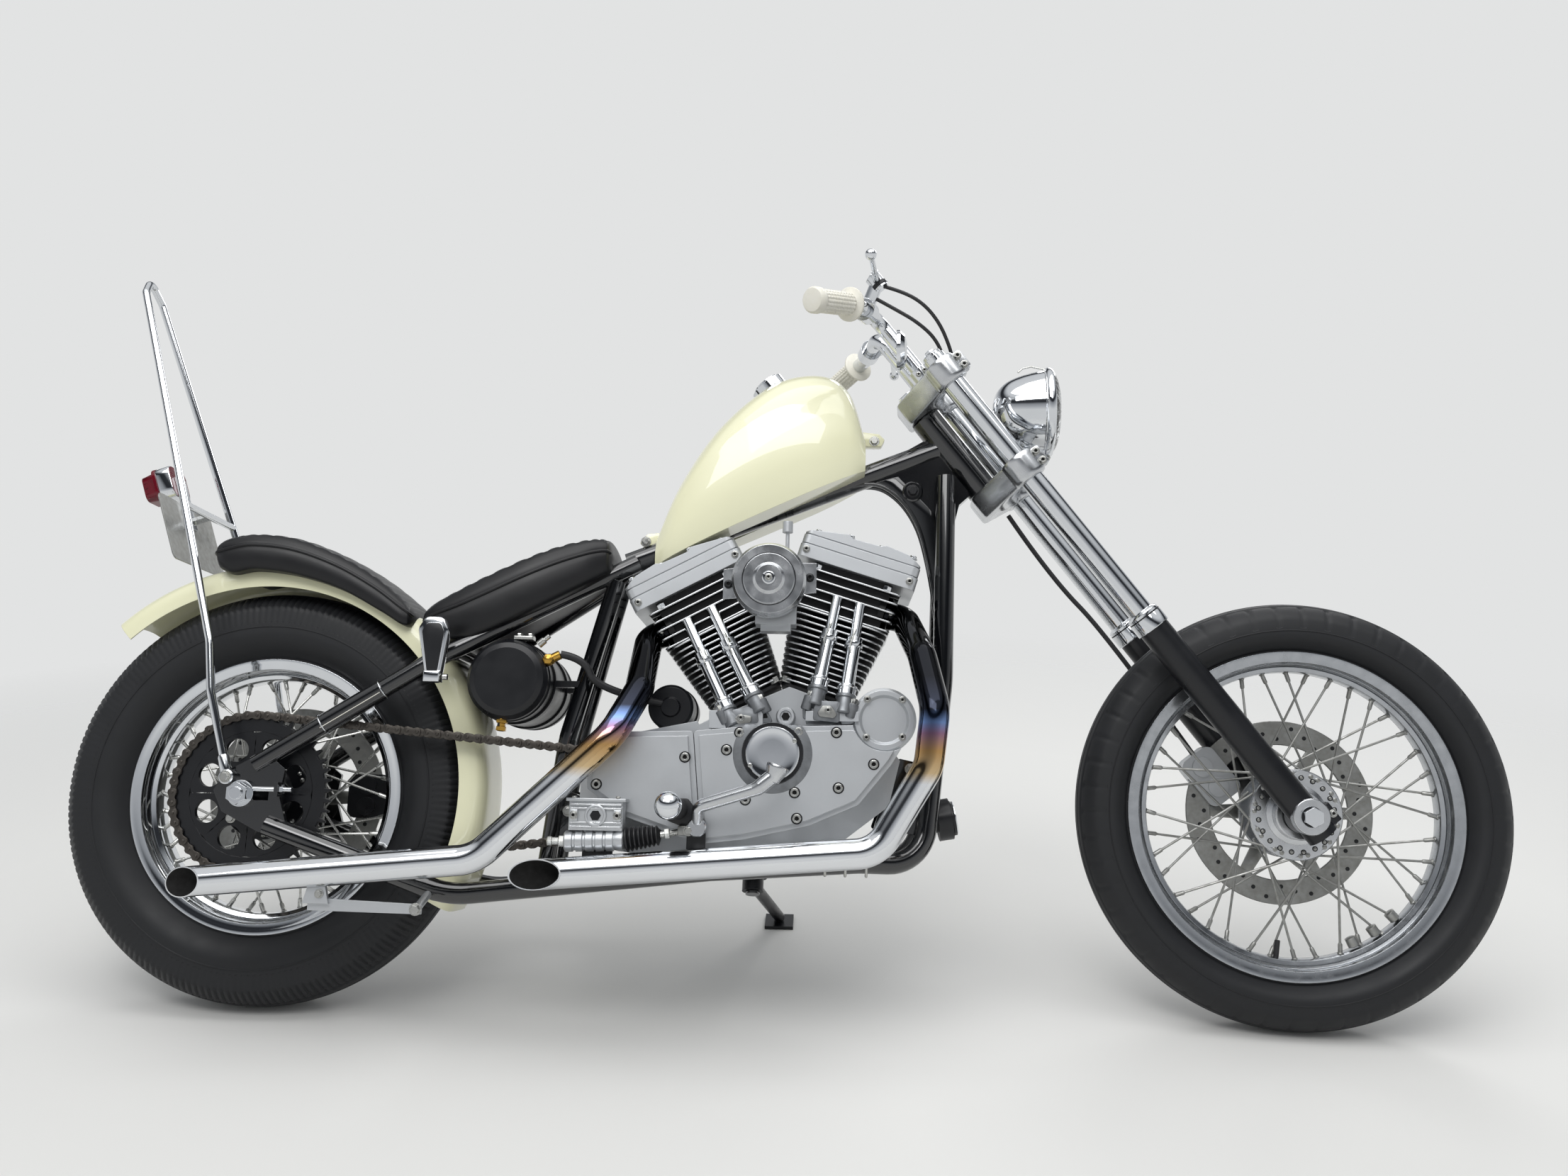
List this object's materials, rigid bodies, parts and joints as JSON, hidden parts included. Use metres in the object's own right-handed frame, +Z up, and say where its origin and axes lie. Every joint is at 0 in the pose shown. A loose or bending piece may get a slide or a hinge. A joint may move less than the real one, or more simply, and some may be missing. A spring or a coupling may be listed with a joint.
{
  "type": "chopper motorcycle",
  "caption": "Long raked chopper motorcycle with a V-twin engine, rigid rear frame, wire wheels, peanut tank and tall sissy bar, leaning on its side stand.",
  "frame": {"origin": "middle of the overall box, at the ground the tyres and the side stand rest on", "axes": "+X forward, +Y to the machine's left, +Z up from the ground; the machine leans to +Y"},
  "size_m": [2.2769, 0.7423, 1.1889],
  "materials": {
    "ivory_paint": "gloss",
    "black_paint": "gloss",
    "black_satin": "satin",
    "black_fins": "satin",
    "chrome": "polished",
    "spoked_steel": "polished",
    "satin_aluminium": "satin",
    "plain_steel": "satin",
    "chain_steel": "oiled",
    "white_rubber": "matte",
    "black_rubber": "matte",
    "tyre": "matte",
    "black_leather": "semi-gloss",
    "red_lens": "gloss"
  },
  "bodies": {
    "frame": {"drive_chain": "chain_steel", "main_frame": "black_paint", "rear_frame": "black_paint", "rear_axle": "chrome", "cylinders": "black_fins", "rocker_boxes": "satin_aluminium", "crankcase": "satin_aluminium", "engine_covers": "satin_aluminium", "pushrod_tubes": "chrome", "air_cleaner": "chrome", "carburettor": "satin_aluminium", "front_exhaust": "chrome", "rear_exhaust": "chrome", "pipe_hanger": "satin_aluminium", "fuel_tank": "ivory_paint", "tank_cap": "chrome", "rear_fender": "ivory_paint", "sissy_bar": "chrome", "number_plate": "plain_steel", "tail_lamp": "red_lens", "rear_seat": "black_leather", "front_seat": "black_leather", "oil_tank": "black_satin", "starter_motor": "black_satin", "oil_lines": "black_rubber", "foot_controls": "satin_aluminium", "foot_pegs": "chrome", "master_cylinder": "satin_aluminium", "horn": "black_satin", "rear_caliper": "black_satin"},
    "fork": {"front_axle": "chrome", "fork_tubes": "chrome", "fork_sliders": "black_satin", "fork_clamps": "satin_aluminium", "grips": "white_rubber", "handlebar": "chrome", "hand_controls": "chrome", "mirror": "chrome", "headlamp": "chrome", "front_caliper": "satin_aluminium", "front_brake_hose": "black_rubber"},
    "front_wheel": {"front_tyre": "tyre", "front_wire_wheel": "spoked_steel", "front_brake_disc": "plain_steel"},
    "rear_wheel": {"rear_tyre": "tyre", "rear_wire_wheel": "spoked_steel", "rear_sprocket": "plain_steel", "rear_brake_disc": "plain_steel"},
    "side_stand": {"side_stand": "black_satin"}
  },
  "joints": [
    {"name": "steering", "type": "hinge", "parent": "frame", "child": "fork", "pos_m": [0.28363, 0.0599, 0.87258], "axis": [-0.6157, 0.2435, 0.7494], "range_deg": [-30, 40]},
    {"name": "front_wheel_spin", "type": "hinge", "parent": "fork", "child": "front_wheel", "pos_m": [0.80781, -0.12406, 0.32219], "axis": [0.0687, 0.964, -0.2568], "continuous": true},
    {"name": "rear_wheel_spin", "type": "hinge", "parent": "frame", "child": "rear_wheel", "pos_m": [-0.81102, -0.12123, 0.3151], "axis": [0, 0.9511, -0.309], "continuous": true},
    {"name": "stand_pivot", "type": "hinge", "parent": "frame", "child": "side_stand", "pos_m": [-0.04303, -0.01669, 0.14496], "axis": [0, 0.5927, 0.8054], "range_deg": [0, 92]}
  ]
}
